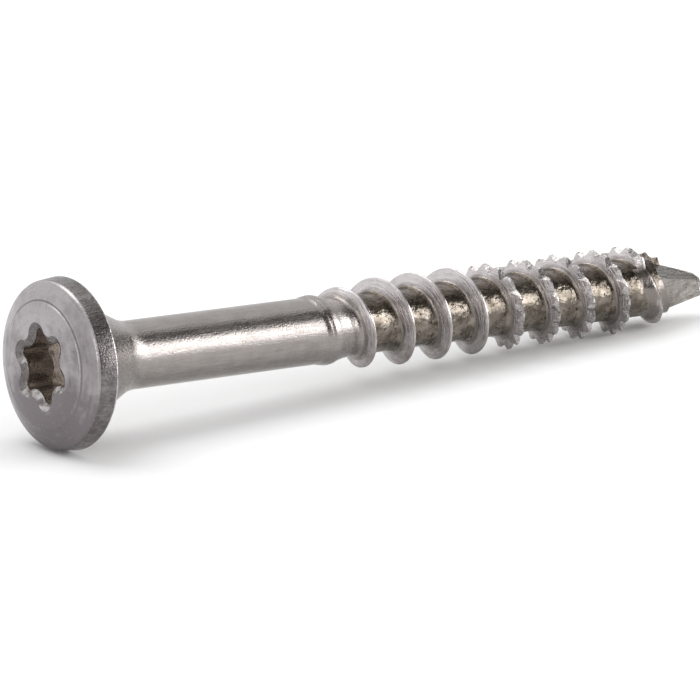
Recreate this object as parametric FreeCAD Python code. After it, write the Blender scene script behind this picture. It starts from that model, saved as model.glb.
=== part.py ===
"""Chipboard screw, 5 x 45 mm, lying as it comes to rest.

A one-piece steel screw: a domed head with a round step and a six-lobed socket, a conical neck, a plain shank,
a slanted rolled collar, a coarse thread whose lower turns are serrated, and a four-sided point.

The screw is drawn along +X, from the head to the tip. Stations along it start at the step on the head's face.
Angles round it start at +Z and turn towards -Y, the way the right-hand thread climbs.
Sizes are millimetres and degrees.
"""
import FreeCAD, Part
import math
import os

# Head
head_diameter = 9.3
rim_width = 0.99
rim_chamfer = 0.12
rim_flare = 0.11
shoulder_drop = 0.50
shoulder_inset = 0.11
step_diameter = 6.95
step_height = 0.07
crown_diameter = 4.95
crown_rise = 0.13

# Six-lobed socket
socket_across = 3.95
socket_inner = 2.85
lobe_radius = 0.30
socket_depth = 1.75
socket_turn = -4.0
bevel_width = 0.40
bevel_depth = 0.22
floor_dimple = 1.7
floor_angle = 60.0
lobes = 6

# Neck and shank
shank_diameter = 3.72
neck_length = 3.32
neck_angle = 26.8
neck_blend = 0.35

# Slanted collar that ends the shank
collar_station = 18.24
collar_diameter = 3.96
collar_slant = 12.0
collar_rise = 0.5
collar_land = 0.2
collar_fall = 0.9

# Thread
thread_diameter = 5.0
core_diameter = 3.3
pitch = 2.62
crest_width = 0.13
head_flank_angle = 22.0
tip_flank_angle = 15.0
root_burial = 0.4
thread_start = 18.33
thread_start_angle = 144.0
thread_end = 43.2
run_in_length = 5.0
run_in_diameter = 3.8
run_out_start = 39.9
run_out_length = 2.4
run_out_diameter = 4.2

# Serration of the lower turns
serration_start = 29.7
serration_end = 41.0
tooth_spacing = 24.6
tooth_land = 1.6
notch_depth = 0.32
notch_slant = 44.0
notch_length = 1.31

# Point
point_start = 42.5
point_bow = 0.16
nose_length = 0.3
nose_diameter = 0.9
nose_bow = 0.1
tip_station = 46.37
flat_distance = 1.15
flat_slope = 10.0
flat_offset = 0.08
flat_turn = 27.0
flat_start = 42.65
flat_lean = 23.0
flat_lean_turn = 305.0
flats = 4

# Way the screw lies: the turn about its own line at which two teeth share the lowest place
rest_roll = 11.7

# Drawing: how far cutters and joined pieces run past each other, and the thread's faces in a turn
overrun = 1.0
spans_per_turn = 4
point_stretches = 2
nose_stretches = 1

head_radius = head_diameter / 2
shank_radius = shank_diameter / 2
thread_radius = thread_diameter / 2
core_radius = core_diameter / 2
bearing_station = shoulder_drop + shoulder_inset + rim_width + rim_chamfer
neck_end = bearing_station + neck_length
collar_foot = collar_station - collar_rise
origin = FreeCAD.Vector(0, 0, 0)
along = FreeCAD.Vector(1, 0, 0)
sideways = FreeCAD.Vector(0, 1, 0)


def tangent(degrees):
    return math.tan(math.radians(degrees))


def at(station, radius, degrees=0.0):
    """Point at a station along the screw, a radius from its line and an angle round it."""
    turn = math.radians(degrees)
    return FreeCAD.Vector(station, -radius * math.sin(turn), radius * math.cos(turn))


def turned(corners):
    """Solid of revolution of a closed profile, whose corners are stations and radii."""
    points = [at(station, radius) for station, radius in corners]
    profile = Part.Face(Part.makePolygon(points + points[:1]))
    return profile.revolve(origin, along, 360)


def bowed(start, end, bow, stretches):
    """Corners between two points of a profile that bows out by the given height, the first one left out."""
    length = end[0] - start[0]
    rise = end[1] - start[1]
    chord = math.hypot(length, rise)
    corners = []
    for step in range(1, stretches + 1):
        share = step / stretches
        swell = 4 * bow * share * (1 - share)
        corners.append((
            start[0] + length * share - swell * rise / chord,
            start[1] + rise * share + swell * length / chord,
        ))
    return corners


def head_and_shank():
    """Head, neck and shank in one turned profile, past the collar by a little."""
    step_radius = step_diameter / 2
    shoulder_radius = head_radius - rim_flare
    shank_end = collar_station + overrun
    return turned([
        (-crown_rise, 0),
        (-crown_rise, crown_diameter / 2),
        (0, step_radius - step_height),
        (step_height, step_radius),
        (shoulder_drop, shoulder_radius - shoulder_inset),
        (shoulder_drop + shoulder_inset, shoulder_radius),
        (bearing_station - rim_chamfer, head_radius),
        (bearing_station, head_radius - rim_chamfer),
        (bearing_station, shank_radius + neck_length * tangent(neck_angle)),
        (neck_end - neck_blend, shank_radius + neck_blend * tangent(neck_angle)),
        (neck_end + neck_blend, shank_radius),
        (shank_end, shank_radius),
        (shank_end, 0),
    ])


def lobed_outline(station, growth=0.0):
    """Six-lobed outline, grown by a width: rounded lobes joined by hollow arcs that meet them smoothly."""
    lobe_centre = socket_across / 2 - lobe_radius
    rounding = lobe_radius + growth
    inner = socket_inner / 2 + growth
    half_step = 180.0 / lobes
    lean = math.cos(math.radians(half_step))
    hollow_radius = (lobe_centre ** 2 + inner ** 2 - 2 * lobe_centre * inner * lean - rounding ** 2) / (
        2 * (rounding - inner + lobe_centre * lean))
    edges = []
    for lobe in range(lobes):
        middle = lobe * 2 * half_step
        centre = at(station, lobe_centre, middle)
        next_centre = at(station, lobe_centre, middle + 2 * half_step)
        before = at(station, inner + hollow_radius, middle - half_step)
        after = at(station, inner + hollow_radius, middle + half_step)
        start = centre + (before - centre).normalize() * rounding
        end = centre + (after - centre).normalize() * rounding
        next_start = next_centre + (after - next_centre).normalize() * rounding
        edges.append(Part.Arc(start, at(station, lobe_centre + rounding, middle), end).toShape())
        edges.append(Part.Arc(end, at(station, inner, middle + half_step), next_start).toShape())
    return Part.Wire(edges)


def socket():
    """Cutter for the drive socket: lobed walls down to a floor with a drilled middle, and a bevelled mouth."""
    top = -crown_rise - overrun
    dimple_radius = floor_dimple / 2
    bottom = socket_depth + dimple_radius / tangent(floor_angle)
    walls = Part.Face(lobed_outline(top)).extrude(along * (bottom - top))
    drill = turned([
        (top, 0),
        (top, socket_across),
        (socket_depth, socket_across),
        (socket_depth, dimple_radius),
        (bottom, 0),
    ])
    bevel = Part.makeLoft([
        lobed_outline(-crown_rise - bevel_depth / 2, bevel_width * 1.5),
        lobed_outline(-crown_rise + bevel_depth),
    ], True, True)
    cutter = walls.common(drill).fuse(bevel)
    cutter.rotate(origin, along, socket_turn)
    return cutter


def slanted(shape):
    """The shape turned about the collar's middle to the collar's slant, its lower side towards the tip."""
    leaned = shape.copy()
    leaned.rotate(at(collar_station, 0), sideways, -collar_slant)
    return leaned


def collar():
    """Low bead rolled up where the shank ends, falling to below the core on the tip's side."""
    bead_radius = collar_diameter / 2
    fall_end = collar_station + collar_land + collar_fall
    fall_slope = (bead_radius - core_radius) / collar_fall
    return slanted(turned([
        (collar_foot, 0),
        (collar_foot, 2 * shank_radius - bead_radius),
        (collar_station, bead_radius),
        (collar_station + collar_land, bead_radius),
        (fall_end + collar_rise, core_radius - collar_rise * fall_slope),
        (fall_end + collar_rise, 0),
    ]))


def shank_trim():
    """Cutter that ends the shank along the middle of the slanted collar."""
    return slanted(Part.makeCylinder(head_radius, 3 * overrun, at(collar_station + collar_land / 2, 0), along))


def rod():
    """Core of the thread and the turned point, before its flats."""
    nose = (tip_station - nose_length, nose_diameter / 2)
    shoulder = (point_start, core_radius)
    return turned([
        (collar_foot, 0),
        (collar_foot, core_radius),
        shoulder,
    ] + bowed(shoulder, nose, point_bow, point_stretches) + bowed(nose, (tip_station, 0), nose_bow, nose_stretches))


def point_flats():
    """Cutters for the flats of the point: closing in, a little off centre, starting along the last turn's slant."""
    length = tip_station - point_start + 2 * overrun
    reach = FreeCAD.Vector(0, thread_diameter, thread_diameter)
    beyond = Part.makeBox(2 * length, 2 * thread_diameter, 2 * thread_diameter)
    beyond.translate(-reach)
    beyond.rotate(origin, sideways, flat_lean)
    beyond.rotate(origin, along, flat_lean_turn)
    beyond.translate(at(flat_start, 0))
    cutters = []
    for flat in range(flats):
        cutter = Part.makeBox(length, thread_diameter, thread_diameter)
        cutter.translate(FreeCAD.Vector(-overrun, -thread_radius, 0))
        cutter.rotate(origin, sideways, flat_slope)
        cutter.translate(FreeCAD.Vector(0, 0, flat_distance))
        cutter.rotate(origin, along, flat_turn + flat * 360.0 / flats)
        cutter.translate(at(point_start, -flat_offset))
        cutters.append(cutter.common(beyond))
    return cutters


def crest_radius(station):
    """Thread's outside radius: rising over the run-in, full, then easing down before the point."""
    rise = min(1.0, max(0.0, (station - thread_start) / run_in_length))
    fall = min(1.0, max(0.0, (station - run_out_start) / run_out_length))
    grown = 1 - (1 - rise) ** 2
    faded = fall * fall * (3 - 2 * fall)
    run_in = run_in_diameter / 2 + (thread_radius - run_in_diameter / 2) * grown
    return run_in - (thread_radius - run_out_diameter / 2) * faded


def thread_angle(station):
    """Angle round the screw at which the thread passes a station, counted on over its turns."""
    return thread_start_angle + (station - thread_start) / pitch * 360.0


def thread_station(angle):
    """Station at which the thread passes an angle counted on over its turns."""
    return thread_start + (angle - thread_start_angle) / 360.0 * pitch


def thread_corners(station):
    """Four corners of the thread's section: crest and buried root, on the head's side and the tip's."""
    outer = crest_radius(station)
    buried = core_radius - root_burial
    height = outer - buried
    angle = thread_angle(station)
    half = crest_width / 2
    return (
        at(station - half - height * tangent(head_flank_angle), buried, angle),
        at(station - half, outer, angle),
        at(station + half, outer, angle),
        at(station + half + height * tangent(tip_flank_angle), buried, angle),
    )


def helical_edge(start, end, corner):
    """Smooth curve that one corner of the thread's section follows between two stations."""
    turn = math.radians(thread_angle(end) - thread_angle(start))
    small = (end - start) / 1000
    reach = 4 / 3 * math.tan(turn / 4) / turn * (end - start) / small
    first = thread_corners(start)[corner]
    last = thread_corners(end)[corner]
    leaving = thread_corners(start + small)[corner] - first
    arriving = last - thread_corners(end - small)[corner]
    curve = Part.BezierCurve()
    curve.setPoles([first, first + leaving * reach, last - arriving * reach, last])
    return curve.toShape()


def thread_ridge():
    """Thread as one solid ridge along the helix, closed by a flat face at each end."""
    spans = math.ceil((thread_end - thread_start) / pitch * spans_per_turn)
    stations = [thread_start + (thread_end - thread_start) * span / spans for span in range(spans + 1)]
    faces = []
    for start, end in zip(stations, stations[1:]):
        edges = [helical_edge(start, end, corner) for corner in range(4)]
        faces += [Part.makeRuledSurface(edge, following) for edge, following in zip(edges, edges[1:] + edges[:1])]
    for station in (thread_start, thread_end):
        corners = thread_corners(station)
        faces.append(Part.Face(Part.makePolygon(corners + corners[:1])))
    shell = Part.makeShell(faces)
    shell.sewShape()
    ridge = Part.Solid(shell)
    if ridge.Volume < 0:
        ridge.reverse()
    return ridge


def foot_angle():
    """Counted angle at which the last full turn of the thread passes its lowest point."""
    bottom = 180.0 + rest_roll
    return bottom + 360.0 * math.floor((thread_angle(run_out_start) - bottom) / 360.0)


def notches():
    """Cutters for the serration: a V notch between each two teeth, deeper on the flank that faces the head."""
    half = (tooth_spacing - tooth_land) / 2
    floor = thread_radius - notch_depth
    outside = thread_radius + notch_depth
    foot = foot_angle()
    first = math.ceil((thread_angle(serration_start) - foot) / tooth_spacing)
    last = math.floor((thread_angle(serration_end) - foot) / tooth_spacing)
    sweep = FreeCAD.Vector(1, 0, tangent(notch_slant)) * notch_length
    cutters = []
    for notch in range(first, last + 1):
        angle = foot + notch * tooth_spacing
        station = thread_station(angle)
        outline = Part.makePolygon([
            at(station, floor),
            at(station, thread_radius, -half),
            at(station, outside, -half),
            at(station, outside, half),
            at(station, thread_radius, half),
            at(station, floor),
        ])
        outline.translate(sweep * -0.5)
        cutter = Part.Face(outline).extrude(sweep)
        cutter.rotate(origin, along, angle)
        cutters.append(cutter)
    return cutters


def laid_down(straight):
    """The screw as it comes to rest: on its rim and on the two teeth each side of the thread's lowest point."""
    tooth_angle = (tooth_spacing - tooth_land) / 2
    foot_radius = thread_radius * math.cos(math.radians(tooth_angle))
    foot_station = thread_station(foot_angle() + tooth_angle) + crest_width / 2
    rim_station = bearing_station - rim_chamfer
    slope = math.degrees(math.atan((head_radius - foot_radius) / (foot_station - rim_station)))
    laid = straight.copy()
    laid.rotate(origin, along, -rest_roll)
    laid.rotate(origin, sideways, slope)
    box = laid.optimalBoundingBox(False, False)
    laid.translate(FreeCAD.Vector(-box.Center.x, -box.Center.y, -box.ZMin))
    return laid


def screw():
    """Whole screw along its own line, joined and cut."""
    shank = head_and_shank().cut(shank_trim())
    point = rod().cut(point_flats())
    ridge = thread_ridge().cut(notches())
    body = shank.fuse([collar(), point, ridge])
    return body.cut(socket()).removeSplitter()


os.makedirs("parts", exist_ok=True)
laid_down(screw()).exportStep("parts/screw.step")
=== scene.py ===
"""Chipboard screw: the modelled screw, its steel, and the stage that it lies on.

The screw is modelled in millimetres along +X, from the head to the tip, with stations counted from the step on
the head's face. Angles round it start at +Z and turn towards -Y. Then it is laid down and made life size.
"""
import math

import bpy
from bpy.props import FloatProperty, FloatVectorProperty, IntProperty, PointerProperty
from mathutils import Matrix, Vector


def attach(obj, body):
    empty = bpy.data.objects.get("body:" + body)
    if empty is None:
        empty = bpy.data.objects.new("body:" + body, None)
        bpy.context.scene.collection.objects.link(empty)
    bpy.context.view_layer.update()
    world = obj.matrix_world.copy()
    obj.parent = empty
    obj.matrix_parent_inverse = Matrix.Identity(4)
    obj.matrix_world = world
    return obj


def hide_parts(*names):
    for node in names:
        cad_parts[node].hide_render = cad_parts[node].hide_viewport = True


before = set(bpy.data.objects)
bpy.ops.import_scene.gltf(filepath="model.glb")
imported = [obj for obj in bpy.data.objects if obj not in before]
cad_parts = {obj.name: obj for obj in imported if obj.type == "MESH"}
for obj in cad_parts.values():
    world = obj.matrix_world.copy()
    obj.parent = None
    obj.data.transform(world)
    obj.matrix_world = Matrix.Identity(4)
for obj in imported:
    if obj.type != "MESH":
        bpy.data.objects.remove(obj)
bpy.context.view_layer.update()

bl_info = {
    "name": "Chipboard Screw",
    "version": (1, 0, 0),
    "blender": (4, 5, 0),
    "location": "View3D > Sidebar > Screw",
    "description": "Models a chipboard screw with a serrated thread and lays it on a pale stage",
    "category": "Object",
}

MM = 0.001

# How the screw lies: rolled about its line, sloping down to the tip, and moved so that it rests on the floor
REST_ROLL = math.radians(-11.7)
REST_SLOPE = math.radians(3.2976)
REST_PLACE = Vector((-23.0105, 0, 4.7609)) * MM
LAY = Matrix.Translation(REST_PLACE) @ Matrix.Rotation(REST_SLOPE, 4, "Y") @ Matrix.Rotation(REST_ROLL, 4, "X")

# Material slots of every part, in this order, so that a joined mesh keeps each face's finish
FINISHES = ("shank", "face", "rim", "flank", "core", "notch", "point", "socket")
SLOT = {name: index for index, name in enumerate(FINISHES)}

# How finely the round shapes are drawn: steps round the head and the socket's dimple, steps in one turn of the
# thread and of its crushed end, points round one lobe of the socket, and the longest edge along the thread's profile
HEAD_STEPS = 144
DIMPLE_STEPS = 96
TURN_STEPS = 96
TAIL_STEPS = 110
LOBE_POINTS = 28
LONGEST_EDGE = 0.2
MERGE_DISTANCE = 1e-4

# Where shank and threaded rod meet, inside each other: from the collar back to the shank's slanted cut, and on to
# its end before the cut, and from the thread's start back to the rod's own cut
SHANK_CUT = 0.5
SHANK_SPARE = 1.5
ROD_CUT = 2.2
ROD_TURNS = 13
# Where the head's finishes change: past the shoulder, along the back edge of the rim, where bright steel is a painted
# highlight, and behind the rim
FACE_REACH = 0.08
PAINTED_HIGHLIGHT_EDGE = (-0.06, -0.01)
RIM_REACH = 0.02
# Edges between faces that meet at less than this are shaded smooth
SMOOTH_BELOW = math.radians(32)

# The thread rises out of the collar over this turn, and blends with it over this height
FADE_IN = math.radians(25)
COLLAR_BLEND = 0.02
# A face that stands this far off the core belongs to a flank
FLANK_FOOT = 0.09
# Angle, on the hidden side, at which the smooth gap behind the collar passes from the first ridge to the second
RIDGE_SEAM = math.radians(-130)
# The point's finish begins this far past its start
POINT_FINISH = 0.3
# Vertices on the seam of two turns are counted with the earlier one
SEAM_LEAN = 0.002

# Crushed end of the thread: radius down to which it is buried, half its foot's width, its flank towards the head
TAIL_ROOT = 0.9
TAIL_HALF_WIDTH = 0.85
TAIL_HEAD_FLANK = math.radians(38)
# The rod's own last turn follows the drift up to this angle past its highest point
ROD_DRIFT_END = 88.0

# Rounded end of the nose: length and narrowing of each step, and the last bit up to the tip
NOSE_STEPS = ((0.13, 0.94), (0.11, 0.84), (0.08, 0.72), (0.06, 0.55))
NOSE_END = 0.04

# Sweep of a notch cutter along the screw, from and over, and a small turn that keeps its edges off the thread's
NOTCH_FROM = -0.4217
NOTCH_OVER = 1.0831
NOTCH_NUDGE = 0.0007
NOTCH_OVERREACH = 1.3

# Box that cuts a flat: how far it starts before the point, reaches past the tip, and its width and height
FLAT_BEFORE = 1.0
FLAT_PAST = 2.0
FLAT_SIDE = 5.0

# Rings of the socket's cutter, from the crown's top inwards and back from the floor, and how it closes at the floor
MOUTH_RINGS = (-1.0, -0.11, -0.04, 0, 0.05, 0.10, 0.15, 0.19, 0.23, 0.28, 0.36)
FLOOR_RINGS = (-0.14, -0.04, 0)
FLOOR_CLOSING = ((-0.05, -0.04), (-0.02, -0.12))
BEVEL_SOFTNESS = 0.06
BEVEL_REACH = 1.5
DIMPLE = ((-0.3, 0), (-0.3, 0.85), (0, 0.85), (0.49, 0))
# The socket's bevel ends at this station; its faces turned up at least this much get a painted highlight of bright
# steel, the others painted shade of dark steel
BEVEL_END = 0.12
PAINTED_LIGHT_SIDE = 0.25

# Swelling of the collar: distance along its leaned line from its middle, and radius
COLLAR_SWELL = (
    (-0.80, 1.80), (-0.62, 1.86), (-0.25, 1.94), (0.0, 1.98), (0.18, 1.965), (0.6, 1.83), (1.05, 1.74), (1.6, 1.65))

# Last turn of the thread, by the angle in degrees past its highest point: how far it drifts towards the tip,
# and how high its crest stands after the press has crushed it
LAST_DRIFT = (
    (-120, 0.0), (-40, -0.22), (0, -0.26), (45, -0.1), (88, -0.05), (114, 0.16), (138, 0.40), (170, 0.55),
    (205, 0.48), (260, 0.16), (300, -0.15), (345, -0.35))
BLOCK_CREST = ((-60, 2.5), (28, 2.47), (40, 2.3), (52, 1.86), (62, 1.65))
TAIL_CREST = (
    (34, 1.3), (52, 1.86), (75, 1.86), (90, 1.92), (114, 1.96), (138, 2.05), (175, 2.17), (230, 2.15),
    (300, 2.1), (325, 2.08), (343, 2.02))


class ScrewHead(bpy.types.PropertyGroup):
    diameter: FloatProperty(name="Diameter", description="Across the rim", default=0.0093, unit="LENGTH")
    rim_width: FloatProperty(name="Rim width", description="Straight part of the rim", default=0.00099, unit="LENGTH")
    rim_flare: FloatProperty(
        name="Rim flare", description="How much the rim widens to the back", default=0.00011, unit="LENGTH")
    rim_chamfer: FloatProperty(
        name="Rim chamfer", description="Edge at the back of the rim", default=0.00012, unit="LENGTH")
    step_diameter: FloatProperty(
        name="Step diameter", description="Round step on the face", default=0.00695, unit="LENGTH")
    step_height: FloatProperty(name="Step height", description="Height of the step", default=0.00007, unit="LENGTH")
    shoulder_drop: FloatProperty(
        name="Shoulder drop", description="From the step down to the shoulder", default=0.0005, unit="LENGTH")
    shoulder_inset: FloatProperty(
        name="Shoulder inset", description="Rounding between face and rim", default=0.00011, unit="LENGTH")
    crown_rise: FloatProperty(
        name="Crown rise", description="Rise of the face inside the step", default=0.00013, unit="LENGTH")
    neck_length: FloatProperty(name="Neck length", description="Length of the cone", default=0.00332, unit="LENGTH")
    neck_angle: FloatProperty(
        name="Neck angle", description="Half angle of the cone", default=math.radians(26.8), unit="ROTATION")


class ScrewSocket(bpy.types.PropertyGroup):
    across: FloatProperty(name="Across lobes", description="Over two lobes", default=0.00395, unit="LENGTH")
    inner: FloatProperty(name="Inner diameter", description="Between the lobes", default=0.00285, unit="LENGTH")
    lobe_radius: FloatProperty(name="Lobe radius", description="Rounding of a lobe", default=0.0003, unit="LENGTH")
    depth: FloatProperty(name="Depth", description="Depth of the lobed walls", default=0.00175, unit="LENGTH")
    bevel_width: FloatProperty(
        name="Bevel width", description="Bevel round the mouth", default=0.0004, unit="LENGTH")
    bevel_depth: FloatProperty(
        name="Bevel depth", description="How deep the bevel goes", default=0.00022, unit="LENGTH")
    turn: FloatProperty(
        name="Turn", description="Turn of the lobes", default=math.radians(-4), unit="ROTATION")
    lobes: IntProperty(name="Lobes", description="Number of lobes", default=6)


class ScrewShank(bpy.types.PropertyGroup):
    diameter: FloatProperty(name="Diameter", description="Plain shank", default=0.00372, unit="LENGTH")
    collar_station: FloatProperty(
        name="Collar place", description="From the head's step to the collar", default=0.01824, unit="LENGTH")
    collar_slant: FloatProperty(
        name="Collar slant", description="Lean of the collar", default=math.radians(12), unit="ROTATION")


class ScrewThread(bpy.types.PropertyGroup):
    diameter: FloatProperty(name="Diameter", description="Over the crests", default=0.005, unit="LENGTH")
    core: FloatProperty(name="Core diameter", description="Between the turns", default=0.0033, unit="LENGTH")
    pitch: FloatProperty(name="Pitch", description="Advance of one turn", default=0.00262, unit="LENGTH")
    crest_width: FloatProperty(name="Crest width", description="Land of the crest", default=0.00013, unit="LENGTH")
    head_flank: FloatProperty(
        name="Head flank", description="Lean of the flank towards the head", default=math.radians(22),
        unit="ROTATION")
    tip_flank: FloatProperty(
        name="Tip flank", description="Lean of the flank towards the tip", default=math.radians(15),
        unit="ROTATION")
    root_fillet: FloatProperty(
        name="Root fillet", description="Hollow at the foot of a flank", default=0.00036, unit="LENGTH")
    start: FloatProperty(name="Start", description="Where the thread begins", default=0.01833, unit="LENGTH")
    start_angle: FloatProperty(
        name="Start angle", description="Angle at which it begins", default=math.radians(144), unit="ROTATION")
    run_in: FloatProperty(name="Run-in", description="Length over which it rises", default=0.005, unit="LENGTH")
    run_in_diameter: FloatProperty(
        name="Run-in diameter", description="Over its first crest", default=0.0038, unit="LENGTH")
    tooth_spacing: FloatProperty(
        name="Tooth spacing", description="Angle from tooth to tooth", default=math.radians(24.6), unit="ROTATION")
    tooth_land: FloatProperty(
        name="Tooth land", description="Angle of a tooth's flat top", default=math.radians(4), unit="ROTATION")
    notch_depth: FloatProperty(
        name="Notch depth", description="Depth of a notch at the crest", default=0.0003, unit="LENGTH")
    notch_slant: FloatProperty(
        name="Notch slant", description="Slant of a notch across the flank", default=math.radians(33),
        unit="ROTATION")
    serration_start: FloatProperty(
        name="Serration start", description="Where the notches begin", default=0.0297, unit="LENGTH")
    serration_end: FloatProperty(
        name="Serration end", description="Where the notches stop", default=0.0424, unit="LENGTH")


class ScrewPoint(bpy.types.PropertyGroup):
    start: FloatProperty(name="Start", description="Where the point begins", default=0.0425, unit="LENGTH")
    tip: FloatProperty(name="Tip", description="Length to the tip", default=0.04637, unit="LENGTH")
    nose_length: FloatProperty(name="Nose length", description="Blunt end", default=0.00042, unit="LENGTH")
    nose_diameter: FloatProperty(name="Nose diameter", description="Blunt end", default=0.00112, unit="LENGTH")
    bow: FloatProperty(name="Bow", description="How far its outline bows out", default=0.00016, unit="LENGTH")
    bend: FloatProperty(name="Bend", description="How far the nose is pressed down", default=0.0002, unit="LENGTH")
    flats: IntProperty(name="Flats", description="Number of flats", default=4)
    flat_distance: FloatProperty(
        name="Flat distance", description="From the middle to a flat", default=0.00115, unit="LENGTH")
    flat_slope: FloatProperty(
        name="Flat slope", description="How the flats close in", default=math.radians(10), unit="ROTATION")
    flat_turn: FloatProperty(
        name="Flat turn", description="Turn of the first flat", default=math.radians(27), unit="ROTATION")
    flat_offset: FloatProperty(
        name="Flat offset", description="How far off centre they are", default=0.00008, unit="LENGTH")
    flat_start: FloatProperty(
        name="Flat start", description="Where the flats begin", default=0.04225, unit="LENGTH")
    flat_lean: FloatProperty(
        name="Flat lean", description="Slant of the line where they begin", default=math.radians(14),
        unit="ROTATION")
    flat_lean_turn: FloatProperty(
        name="Lean turn", description="Way that the slant faces", default=math.radians(305), unit="ROTATION")


class ScrewSteel(bpy.types.PropertyGroup):
    bright: FloatVectorProperty(
        name="Bright steel", description="Colour of the smooth steel", subtype="COLOR", default=(0.36, 0.332, 0.318))
    lilac: FloatVectorProperty(
        name="Face steel", description="Colour of the head's face", subtype="COLOR", default=(0.42, 0.392, 0.402))
    dark: FloatVectorProperty(
        name="Dark steel", description="Colour of the rough steel", subtype="COLOR", default=(0.17, 0.15, 0.13))
    soot: FloatVectorProperty(
        name="Soot", description="Colour in pits and deep corners", subtype="COLOR", default=(0.05, 0.042, 0.035))


class ScrewStage(bpy.types.PropertyGroup):
    paper: FloatVectorProperty(
        name="Paper", description="Colour of the floor", subtype="COLOR", default=(0.93, 0.93, 0.93))
    light: FloatProperty(name="Light", description="Level of the soft light from all round", default=0.70)
    lens: FloatProperty(name="Lens", description="Focal length in millimetres", default=264.8, unit="CAMERA")


def deselect():
    if bpy.context.object and bpy.context.object.mode != "OBJECT":
        bpy.ops.object.mode_set(mode="OBJECT")
    bpy.ops.object.select_all(action="DESELECT")


def choose(piece):
    """The piece alone is selected and active."""
    deselect()
    piece.select_set(True)
    bpy.context.view_layer.objects.active = piece


def edited(piece):
    """The piece is chosen and all of it is selected in edit mode."""
    choose(piece)
    bpy.ops.object.mode_set(mode="EDIT")
    bpy.ops.mesh.select_all(action="SELECT")


def named(name, finish):
    """The new object gets its name and all the finishes, each face the given one."""
    piece = bpy.context.object
    piece.name = name
    piece.data.name = name
    for slot in FINISHES:
        piece.data.materials.append(bpy.data.materials[slot])
    for face in piece.data.polygons:
        face.material_index = SLOT[finish]
    return piece


def rounded(corners):
    """Profile through corners of station, radius, rounding and steps, with the roundings drawn as arcs."""
    points = [Vector((station, radius)) for station, radius, rounding, steps in corners]
    outline = [points[0]]
    for before, corner, after, (station, radius, rounding, steps) in zip(points, points[1:], points[2:], corners[1:]):
        if rounding == 0:
            outline.append(corner)
            continue
        towards = (before - corner).normalized()
        onwards = (after - corner).normalized()
        half = towards.angle(onwards) / 2
        centre = corner + (towards + onwards).normalized() * rounding / math.sin(half)
        first = corner + towards * rounding / math.tan(half) - centre
        last = corner + onwards * rounding / math.tan(half) - centre
        turn = first.angle_signed(last)
        for step in range(steps + 1):
            spoke = first.copy()
            spoke.rotate(Matrix.Rotation(-turn * step / steps, 2))
            outline.append(centre + spoke)
    outline.append(points[-1])
    return outline


def eased(keys, place):
    """Value at a place on a soft curve through the keys."""
    if place <= keys[0][0]:
        return keys[0][1]
    for (start, low), (end, high) in zip(keys, keys[1:]):
        if place < end:
            share = (place - start) / (end - start)
            return low + (high - low) * share * share * (3 - 2 * share)
    return keys[-1][1]


def sloped(keys, place):
    """Value at a place on straight lines through the keys."""
    if place <= keys[0][0]:
        return keys[0][1]
    for (start, low), (end, high) in zip(keys, keys[1:]):
        if place < end:
            return low + (high - low) * (place - start) / (end - start)
    return keys[-1][1]


def polar(place):
    """Distance from the screw's line, and angle round it."""
    return math.hypot(place.y, place.z), math.atan2(-place.y, place.z)


def pushed_out(vertex, radius):
    """The vertex moved to a new distance from the screw's line."""
    scale = radius / math.hypot(vertex.co.y, vertex.co.z)
    vertex.co.y *= scale
    vertex.co.z *= scale


def extruded(x, y, z):
    """What is selected in edit mode, extruded by a step."""
    bpy.ops.mesh.extrude_region_move(TRANSFORM_OT_translate={"value": (x, y, z)})


def drawn_line(outline):
    """A vertex extruded from point to point of a profile, in millimetres; left in edit mode, all selected."""
    deselect()
    bpy.ops.mesh.primitive_plane_add(size=1.0, location=(0, 0, 0))
    bpy.ops.object.mode_set(mode="EDIT")
    bpy.ops.mesh.merge(type="CENTER")
    bpy.ops.transform.translate(value=(outline[0][0], 0, outline[0][1]))
    for last, point in zip(outline, outline[1:]):
        extruded(point[0] - last[0], 0, point[1] - last[1])
    bpy.ops.mesh.select_all(action="SELECT")


def closed_up():
    """Doubles merged and faces turned outwards, from edit mode back to object mode."""
    bpy.ops.mesh.select_all(action="SELECT")
    bpy.ops.mesh.remove_doubles(threshold=MERGE_DISTANCE)
    bpy.ops.mesh.normals_make_consistent(inside=False)
    bpy.ops.object.mode_set(mode="OBJECT")


def spun(name, finish, outline, steps):
    """Closed solid of revolution about the screw's line."""
    drawn_line(outline)
    bpy.ops.mesh.spin(steps=steps, angle=math.tau, center=(0, 0, 0), axis=(1, 0, 0))
    closed_up()
    return named(name, finish)


def wound(outline, pitch, turns, steps):
    """The profile swept along the helix for a number of turns; the surface it leaves is still open."""
    drawn_line(outline)
    bpy.ops.object.mode_set(mode="OBJECT")
    piece = bpy.context.object
    modifier = piece.modifiers.new(name="Helix", type="SCREW")
    modifier.axis = "X"
    modifier.angle = math.tau * turns
    modifier.screw_offset = pitch * turns
    modifier.steps = steps
    modifier.render_steps = steps
    modifier.use_smooth_shade = True
    bpy.ops.object.modifier_apply(modifier=modifier.name)
    return piece


def combined(piece, other, operation):
    """The piece joined with or cut by the other, which is used up."""
    choose(piece)
    modifier = piece.modifiers.new(name=other.name, type="BOOLEAN")
    modifier.operation = operation
    modifier.solver = "EXACT"
    modifier.object = other
    bpy.ops.object.modifier_apply(modifier=modifier.name)
    bpy.data.objects.remove(other)
    return piece


def moved_copies(piece, moves):
    """Copies of a cutter at each of the moves; the first one is used up."""
    copies = []
    for move in moves:
        copy = piece.copy()
        copy.data = piece.data.copy()
        copy.data.transform(move)
        bpy.context.collection.objects.link(copy)
        copies.append(copy)
    bpy.data.objects.remove(piece)
    return copies


def joined(pieces):
    deselect()
    for piece in pieces:
        piece.select_set(True)
    bpy.context.view_layer.objects.active = pieces[0]
    bpy.ops.object.join()
    return bpy.context.object


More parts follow.
